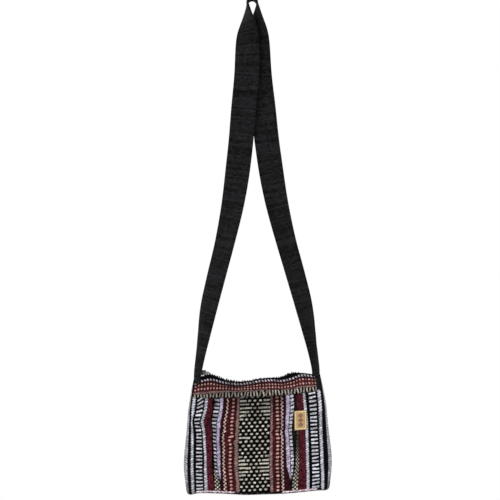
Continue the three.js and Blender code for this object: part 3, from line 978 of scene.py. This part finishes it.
def under_label(x, up):
    beside = LABEL_WIDTH / 2 + LABEL_EASE - np.abs(x - LABEL_X)
    above = LABEL_HEIGHT / 2 + LABEL_EASE - np.abs(up - LABEL_UP) * PANEL_HEIGHT
    return smoothstep(np.minimum(beside, above), 0.0, LABEL_EASE)


def rippled(ripple, x, up):
    height, *waves = ripple
    for across_rate, up_rate, phase in waves:
        height = height * np.sin(across_rate * x + up_rate * up + phase)
    return height


def front_ripple(x, up):
    beside = bell(x - CREASE_X, CREASE_REACH)
    crease = CREASE_DEPTH * bell((up - CREASE_UP) * PANEL_HEIGHT, CREASE_HALF_HEIGHT) * beside
    return (rippled(FRONT_RIPPLE, x, up) - crease) * (1 - under_label(x, up))


panel(
    "front_cloth", "front_panel", FRONT_LAYOUT, STRIPE_HEIGHTS, -1, front_y,
    front_ripple, front_drift, front_shade, front_skew,
)
back_layout = mirrored(BACK_HALF, BACK_MIDDLE)
panel("back_cloth", "back_panel", back_layout, EVEN, 1, back_y, partial(rippled, BACK_RIPPLE))


# Gusset

# Points along a side, round a corner and along the bottom, before even steps are taken
SIDE_POINTS = 200
CORNER_POINTS = 30
BOTTOM_POINTS = 60


def gusset_path():
    """The seam line down the left side, along the bottom and up the right, in even steps: its place, the
    way out of the bag and how far up the bag it is."""
    corner_up = CORNER_RADIUS / PANEL_HEIGHT
    side_up = np.linspace(TOP_UP, corner_up, SIDE_POINTS)
    angle = np.linspace(0.0, math.pi / 2, CORNER_POINTS)[1:]
    arc_up = corner_up * (1 - np.sin(angle))
    up = np.concatenate([side_up, arc_up])
    turn = np.concatenate([np.zeros(len(side_up)), angle])
    left = np.stack([-seam_half_width(up), height_at(up), -np.cos(turn), -np.sin(turn), up])
    right = left[:, ::-1] * np.array([-1, 1, -1, 1, 1])[:, None]
    bottom = np.linspace(left[:, -1], right[:, 0], BOTTOM_POINTS).T[:, 1:-1]
    line = np.concatenate([left, bottom, right], 1)
    line[1] -= sag_at(line[0], line[4])
    return even_steps(line, 2, ROW_STEP)


# Where the strap's webbing takes over, the fold's slow wave, and the half width that shows the full weave
GUSSET_BOUND = 1.06
GUSSET_WAVE = 0.5
GUSSET_WAVE_RATE = 0.06
GUSSET_FULL_HALF = 16.0
# The shade at the bottom corners
CORNER_SHADE = 0.75
CORNER_REACH = 14.0
CORNER_TALL = 0.12


def gusset():
    along, (x, z, out_x, out_z, up) = gusset_path()
    layout = mirrored(GUSSET_HALF, GUSSET_MIDDLE)
    share, height, colour = woven(layout, EVEN, up, straight_rows(along))
    side = 2 * share - 1
    edge = (section["half_depth"](up) - CLOTH_THICKNESS - SEAM_GAP)[:, None]
    across = across_at(x, up)
    front_edge = -edge - bowed(across, section["front_bow"](up))[:, None]
    back_edge = edge + bowed(across, section["back_bow"](up))[:, None]
    gap = edge * (1 - np.abs(side))
    fold = lerp(section["side_bow"](up), BOTTOM_BOW, out_z ** 2)
    fold = fold + GUSSET_WAVE * np.sin(GUSSET_WAVE_RATE * along)
    bow = fold[:, None] * (1 - side ** 2) - seam_roll(gap)
    y = lerp(front_edge, back_edge, share)
    base = np.stack([x[:, None] + out_x[:, None] * bow, y, z[:, None] + out_z[:, None] * bow], -1)
    height = height * smoothstep(edge, 0.0, GUSSET_FULL_HALF)
    colour = lerp(colour, linear("webbing"), smoothstep(up, GUSSET_BOUND, TOP_UP)[:, None, None])
    corner = bell(np.abs(x) - seam_half_width(0.0), CORNER_REACH) * bell(up, CORNER_TALL)
    colour = colour * (1 - CORNER_SHADE * corner)[:, None, None]
    made = wall("gusset_cloth", hang(base), height, seam_shaded(colour, gap), CLOTH_THICKNESS, cloth)
    piece(made, "striped_cloth", "gusset")


gusset()


# Top bands

# The stretch of the bands that lies in shade: its middle along the bag, its reach and the shade's depth
BAND_DIM_AT = -0.45
BAND_DIM_REACH = 0.4
BAND_DIM = 0.35


def band_point(towards, face_y, t, share):
    """A place on a band: t runs from -1 at its left end to 1, share from the panel's seam to the zip."""
    across = t * BAND_HALF_LENGTH / section["half_width"](1.0)
    seam_up = 1 + seam_rise_at(across) / PANEL_HEIGHT
    z = lerp(height_at(seam_up), ridge_at(across), share)
    x = t * (section["half_width"]((z - PANEL_BOTTOM) / PANEL_HEIGHT) - BAND_INSET)
    y = lerp(face_y(x, seam_up), towards * ZIP_HALF_OPENING, share)
    return np.stack([x, y + towards * BAND_BOW * np.sin(np.pi * share), z], -1)


def band(name, node, towards, face_y):
    """A band from a panel's top seam up to the zip. towards is -1 for the front and 1 for the back."""
    along = np.linspace(0.0, 2 * BAND_HALF_LENGTH, round(2 * BAND_HALF_LENGTH / ROW_STEP) + 1)
    t = towards * (along / BAND_HALF_LENGTH - 1)
    rows = straight_rows(BAND_SQUEEZE * along)
    share, height, colour = woven(BAND_LAYOUT, BAND_PLACES, (t + 1) / 2, rows)
    base = band_point(towards, face_y, t[:, None], share)
    base[..., 1] -= towards * seam_roll(share * BAND_ARC)
    colour = seam_shaded(colour, share * BAND_ARC)
    colour = colour * (1 - BAND_DIM * bell(t - BAND_DIM_AT, BAND_DIM_REACH))[:, None, None]
    bound = smoothstep(t, BAND_BOUND - BAND_BOUND_EASE, BAND_BOUND)[:, None, None]
    colour = lerp(colour, linear("webbing"), bound)
    made = wall(name, hang(base), height, colour, CLOTH_THICKNESS, cloth)
    piece(made, "striped_cloth", node)


band("front_band_cloth", "top_band_front", -1, front_y)
band("back_band_cloth", "top_band_back", 1, back_y)


# Zip

TAPE_POINTS = 420
TAPE_ROWS = 26
TAPE_RIB = 0.14
TAPE_RIB_PITCH = 1.9
# Painted shade between the tape's ribs, and painted light on their crests
TAPE_GAP_SHADE = 0.8
TAPE_RIB_LIGHT = 1.4
TOOTH_FROM = -0.35
TOOTH_POINTS = 6
TOOTH_CROWN = 0.1
# Tubes of plastic and yarn: how steep one may run before its frame turns, and the form of its ends
STEEP = 0.9
TAPER_FROM = 0.12
TAPER_ROUND = 0.35


def ridge_height(x):
    return ridge_at(x / section["half_width"](1.0))


def tubes(name, lines, radius, material, colour, sides=8):
    """One object of many short tubes, each a little lighter or darker, that taper at their ends. Their lines
    have the same number of points."""
    points = np.array(lines)
    count, steps = points.shape[:2]
    along = unit(np.gradient(points, axis=1))
    helper = np.where(np.abs(along[..., 2:]) > STEEP, [1.0, 0.0, 0.0], UP)
    first = unit(np.cross(along, helper))
    second = np.cross(along, first)
    turn = np.linspace(0.0, 2 * math.pi, sides, endpoint=False)[:, None]
    ring = first[:, :, None] * np.cos(turn) + second[:, :, None] * np.sin(turn)
    taper = radius * arch(np.linspace(TAPER_FROM, 1 - TAPER_FROM, steps), TAPER_ROUND)
    grid = points[:, :, None] + ring * taper[:, None, None]
    faces = []
    for ids in np.arange(count * steps * sides).reshape(count, steps, sides):
        faces += quads(np.concatenate([ids, ids[:, :1]], 1))[:, ::-1].tolist()
        faces += [ids[0].tolist(), ids[-1, ::-1].tolist()]
    tone = 1 + TONE_SPREAD * chance(29 * np.arange(count))
    colours = linear(colour) * np.repeat(tone, steps * sides)[:, None]
    return yarn_object(name, hang(grid.reshape(-1, 3)), faces, material, colours)


def bezier(a, b, c, d, steps):
    t = np.linspace(0.0, 1.0, steps)[:, None]
    return (1 - t) ** 3 * a + 3 * (1 - t) ** 2 * t * b + 3 * (1 - t) * t ** 2 * c + t ** 3 * d


def zip_tape():
    along = np.linspace(-BAND_HALF_LENGTH, BAND_HALF_LENGTH, TAPE_POINTS)
    side = np.linspace(-TAPE_HALF_WIDTH, TAPE_HALF_WIDTH, TAPE_ROWS)
    x, y = np.meshgrid(along, side)
    base = np.stack([x, y, ridge_height(x) - TAPE_DROP], -1)
    ribs = TAPE_RIB * np.abs(np.sin(np.pi * x / TAPE_RIB_PITCH))
    # Painted shade and light: the tape is darker between its ribs and lighter on their crests
    colour = linear("tape") * (TAPE_GAP_SHADE + TAPE_RIB_LIGHT * ribs)[..., None]
    made = wall("zip_tape_cloth", hang(base), ribs, colour, TAPE_THICKNESS, tape_cloth, "tape")
    piece(made, "zip_tape", "zip_tape")


def zip_teeth():
    lines = []
    for k in range(round(2 * CHAIN_HALF_LENGTH / TOOTH_PITCH)):
        x = -CHAIN_HALF_LENGTH + (k + 0.5) * TOOTH_PITCH
        z = ridge_height(x) + TOOTH_LIFT
        side = 1 if k % 2 else -1
        steps = np.linspace(TOOTH_FROM, 1.0, TOOTH_POINTS)
        lines.append([(x, side * TOOTH_REACH * t, z + TOOTH_CROWN * (1 - t * t)) for t in steps])
    made = tubes("zip_coil", lines, TOOTH_RADIUS, coil_plastic, "tape")
    piece(made, "zip_teeth", "zip_chain")


def zip_slider():
    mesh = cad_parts["zip_slider"].data.copy()
    mesh.materials.clear()
    mesh.materials.append(nickel)
    made = add_object("zip_slider_metal", mesh)
    bevel = made.modifiers.new("rounded", "BEVEL")
    bevel.width = 0.35 * MM
    bevel.segments = 3
    bevel.limit_method = "ANGLE"
    piece(made, "zip_metal", "zip_slider")


zip_tape()
zip_teeth()
zip_slider()


# Sewing: black yarn overcast along the zip's edges, and a pale cord along the front's bottom seam

TUFT_COUNT = 57
TUFT_START = 0.95
TUFT_RADIUS = 0.85
TUFT_LEAST = 0.7
TUFT_WANDER = 0.6
TUFT_LEAN = 0.012
TUFT_UNEVEN = 0.4
# How far a tuft lies outside the zip's edge at its foot and at its rise, and inside it past its top
TUFT_FOOT_OUT = 0.7
TUFT_OUT = 1.8
TUFT_OVER = 1.6
TUFT_END_OVER = 2.6
# How high the tufts stand, from -1 at the bag's left end to 1
TUFT_RISE = [
    (-1.0, 1.0), (-0.89, 3.4), (-0.78, 2.0), (-0.6, 2.6), (-0.4, 3.2), (-0.15, 2.2), (0.05, 1.2),
    (0.2, 0.9), (0.36, 2.0), (0.55, 2.6), (0.65, 1.2), (0.72, 0.0), (1.0, 0.0),
]
tuft_rise_at = height_curve(TUFT_RISE)
HEM_PITCH = 3.2
HEM_LENGTH = 5.2
HEM_LIFT = 2.0
HEM_SLOPE = 0.7
HEM_UNEVEN = 0.3
HEM_RADIUS = 1.1
HEM_POINTS = 6
HEM_STRETCHES = [
    # piece, the shares of the bottom seam where it starts and stops, colour
    ("hem_cord_left", 0.035, 0.315, "hem_pink"),
    ("hem_cord_middle", 0.315, 0.675, "black"),
    ("hem_cord_right", 0.675, 0.94, "hem_pink"),
]


def ridge_tufts():
    lines = []
    for towards, face_y in ((-1, front_y), (1, back_y)):
        over = np.array([0.0, -towards, 0.0])
        for k in range(TUFT_COUNT):
            wander, lean, tall = chance(np.array([97, 211, 331]) * (k + TUFT_COUNT * towards))
            t = (2 * k + 1 + TUFT_WANDER * wander) / TUFT_COUNT - 1
            if tuft_rise_at(t) < TUFT_LEAST:
                continue
            foot = band_point(towards, face_y, t, TUFT_START) - TUFT_FOOT_OUT * over
            edge = band_point(towards, face_y, t + TUFT_LEAN * lean, 1.0)
            top = edge + tuft_rise_at(t) * (1 + TUFT_UNEVEN * tall) * UP
            end = edge + TUFT_END_OVER * over - UP
            lines.append(bezier(foot, top - TUFT_OUT * over, top + TUFT_OVER * over, end, steps=7))
    made = tubes("ridge_overcast", lines, TUFT_RADIUS, cloth, "black")
    piece(made, "striped_cloth")


def hem_cord(name, start, stop, colour):
    lines = []
    half = seam_half_width(0.0)
    for k in range(round(start * 2 * half / HEM_PITCH), round(stop * 2 * half / HEM_PITCH)):
        x = np.minimum(-half + k * HEM_PITCH + np.linspace(0.0, HEM_LENGTH, HEM_POINTS), half)
        slope = HEM_SLOPE * np.linspace(-1.0, 1.0, HEM_POINTS) + HEM_UNEVEN * chance(61 * k)
        y = front_y(x, 0.0) - HEM_RADIUS / 2
        lines.append(np.stack([x, y, height_at(0.0) - sag_at(x, 0.0) + HEM_LIFT + slope], -1))
    made = tubes(name, lines, HEM_RADIUS, cloth, colour)
    piece(made, "striped_cloth")


ridge_tufts()
for hem_stretch in HEM_STRETCHES:
    hem_cord(*hem_stretch)


# Label

LABEL_COLUMNS = 48
LABEL_ROWS = 72
# Its tone, and its ribs, whose crests are painted lighter as well as raised
LABEL_TONE = 0.85
LABEL_RIB = 0.12
LABEL_RIB_PITCH = 0.9
# Its edge: how far it turns in and its shade, each over a width
EDGE_TURN = 0.5
EDGE_TURN_WIDTH = 0.6
EDGE_SHADE = 0.45
EDGE_SHADE_WIDTH = 0.8
# Its border, from and to these distances from the edge
BORDER_FROM = 0.9
BORDER_TO = 2.9
BORDER_SOFT = 0.5
BORDER_HEIGHT = 0.2
# Its three diamonds, each with a plain heart
DIAMOND_PITCH = 7.0
DIAMOND_REACH = 1.5 * DIAMOND_PITCH
DIAMOND_SLOPE = 1.25
DIAMOND_HALF_WIDTH = 4.4
HEART_HALF_WIDTH = 1.2
DIAMOND_SOFT = 0.3
DIAMOND_HEIGHT = 0.22
# Its stitches
STITCH_PITCH = 2.4
STITCH_INSET = 0.9
STITCH_START = 0.5
STITCH_LENGTH = 1.5
STITCH_RISE = 0.3
STITCH_RADIUS = 0.26
STITCH_POINTS = 5


def label_point(across, upward, lift):
    x = LABEL_X + across
    up = LABEL_UP + upward / PANEL_HEIGHT
    return np.stack([x, front_y(x, up) - lift, height_at(up) - sag_at(x, up)], -1)


def diamond_at(across, from_middle, half_width):
    return smoothstep(half_width - DIAMOND_SLOPE * from_middle - np.abs(across), -DIAMOND_SOFT, DIAMOND_SOFT)


def label():
    across, upward = np.meshgrid(
        np.linspace(-LABEL_WIDTH / 2, LABEL_WIDTH / 2, LABEL_COLUMNS + 1),
        np.linspace(-LABEL_HEIGHT / 2, LABEL_HEIGHT / 2, LABEL_ROWS + 1),
    )
    edge = np.minimum(LABEL_WIDTH / 2 - np.abs(across), LABEL_HEIGHT / 2 - np.abs(upward))
    inside = smoothstep(edge, BORDER_FROM, BORDER_FROM + BORDER_SOFT)
    border = inside * (1 - smoothstep(edge, BORDER_TO - BORDER_SOFT, BORDER_TO))
    from_middle = from_nearest(upward, DIAMOND_PITCH)
    diamond = diamond_at(across, from_middle, DIAMOND_HALF_WIDTH) * (np.abs(upward) < DIAMOND_REACH)
    heart = diamond_at(across, from_middle, HEART_HALF_WIDTH) * diamond
    weave = LABEL_RIB * np.abs(np.sin(np.pi * upward / LABEL_RIB_PITCH))
    turn = EDGE_TURN * (1 - smoothstep(edge, 0.0, EDGE_TURN_WIDTH))
    height = weave + BORDER_HEIGHT * border + DIAMOND_HEIGHT * diamond - turn
    colour = lerp(linear("label"), linear("label_edge"), border[..., None])
    colour = lerp(colour, linear("label_figure"), (diamond - heart)[..., None])
    shade = EDGE_SHADE * (1 - smoothstep(edge, 0.0, EDGE_SHADE_WIDTH))
    # Painted light and shade: lighter on the weave's ribs, darker where the edge turns in
    colour = colour * (LABEL_TONE + weave - shade)[..., None]
    base = label_point(across, upward, LABEL_LIFT)
    made = wall("label_cloth", hang(base), height, colour, LABEL_THICKNESS, label_yarn, "label")
    piece(made, "label_cloth", "label")


def label_stitches():
    half = np.array([LABEL_WIDTH, LABEL_HEIGHT]) / 2 - STITCH_INSET
    lift = LABEL_LIFT + STITCH_RISE * arch(np.linspace(0.0, 1.0, STITCH_POINTS), 1.0)
    lines = []
    for axis in (0, 1):
        for start in np.arange(STITCH_START - half[axis], half[axis] - STITCH_LENGTH, STITCH_PITCH):
            for side in (-half[1 - axis], half[1 - axis]):
                place = [np.full(STITCH_POINTS, side), np.full(STITCH_POINTS, side)]
                place[axis] = np.linspace(start, start + STITCH_LENGTH, STITCH_POINTS)
                lines.append(label_point(*place, lift))
    made = tubes("label_stitches", lines, STITCH_RADIUS, thread, "label_figure", sides=6)
    piece(made, "label_cloth")


label()
label_stitches()


# Strap

STRAP_YARN = 4.0
STRAP_PICK = 3.0
STRAP_STEP = STRAP_PICK / 3
STRAP_COLUMNS = 20
STRAND_POINTS = 1500
BEND_POINTS = 120
LEAST_CURL = 1e-3
# The webbing's cross ribs: height, roundness, the depth left between its yarns, unevenness, and the painted
# shade in its grooves and painted light on its crests
STRAP_RIB = 0.5
STRAP_YARN_ROUND = 0.6
STRAP_PICK_ROUND = 0.5
STRAP_GROOVE = 0.7
STRAP_SHIFT = 0.12
STRAP_ROW_SPREAD = 0.4
STRAP_FLOAT_SPREAD = 0.45
STRAP_GAP_SHADE = 0.3
STRAP_RIB_LIGHT = 1.7
# How far each sewn end goes down past its seam
STRAP_TAIL = 4.0


def strap_line(side):
    """One strand of the strap from its sewn end to the bend: place, turn and curl."""
    end = hang(np.array([side * STRAP_END_REACH, 0.0, height_at(TOP_UP) + SEAM_GAP]))
    rise = np.linspace(STRAP_TAIL / end[2], 1.0, STRAND_POINTS)
    reach, forward, turn, curl = (strand_at[name](rise) for name in STRAND_NAMES.split()[1:])
    return np.stack([side * reach, side * forward, lerp(end[2], -BEND_RADIUS, rise), turn, curl])


def strap():
    bend_outer = BEND_RADIUS + STRAP_THICKNESS
    angle = np.linspace(math.pi, 0.0, BEND_POINTS)[1:-1]
    flat = np.zeros_like(angle)
    bend = np.stack([bend_outer * np.cos(angle), flat, bend_outer * np.sin(angle) - BEND_RADIUS, flat, flat])
    line = np.concatenate([strap_line(-1), bend, strap_line(1)[:, ::-1]], 1)
    along, (x, y, z, turn, curl) = even_steps(line, 3, STRAP_STEP)
    centre = np.stack([x, y, z], -1)
    tangent = np.gradient(centre, axis=0)
    tangent[0] = UP
    tangent[-1] = -UP
    tangent = unit(tangent)
    turned = np.radians(turn)
    width = np.stack([-np.sin(turned), np.cos(turned), np.zeros_like(turned)], -1)
    width = unit(width - tangent * (width * tangent).sum(1, keepdims=True))
    outward = np.cross(tangent, width)
    rolled = np.maximum(np.radians(curl), LEAST_CURL)[:, None]
    radius = STRAP_WIDTH / rolled
    share = np.linspace(0.0, 1.0, STRAP_COLUMNS + 1)[None, :]
    bent = (share - 0.5) * rolled
    base = centre[:, None] + width[:, None] * (radius * np.sin(bent))[..., None]
    base = base + outward[:, None] * (radius * (np.cos(bent) - 1))[..., None]
    base = base[:, ::-1]
    yarns = STRAP_WIDTH / STRAP_YARN
    end = np.minimum(np.floor(share * yarns), yarns - 1)
    pick = along[:, None] / STRAP_PICK + STRAP_SHIFT * chance(17 * end)
    step = np.floor(pick)
    ridged = lerp(STRAP_GROOVE, 1.0, arch(share * yarns - end, STRAP_YARN_ROUND))
    height = STRAP_RIB * ridged * arch(pick - step, STRAP_PICK_ROUND)
    uneven = 1 + STRAP_ROW_SPREAD * chance(step) + STRAP_FLOAT_SPREAD * chance(53 * end + step)
    # Painted shade and light: the webbing is darker in its grooves and lighter on its ribs' crests
    colour = linear("webbing") * (uneven * (STRAP_GAP_SHADE + STRAP_RIB_LIGHT * height))[..., None]
    made = wall(
        "strap_webbing", base, height, colour, STRAP_THICKNESS, webbing, lining=None, stride=1, ribbed=True
    )
    piece(made, "strap_webbing", "strap")


strap()
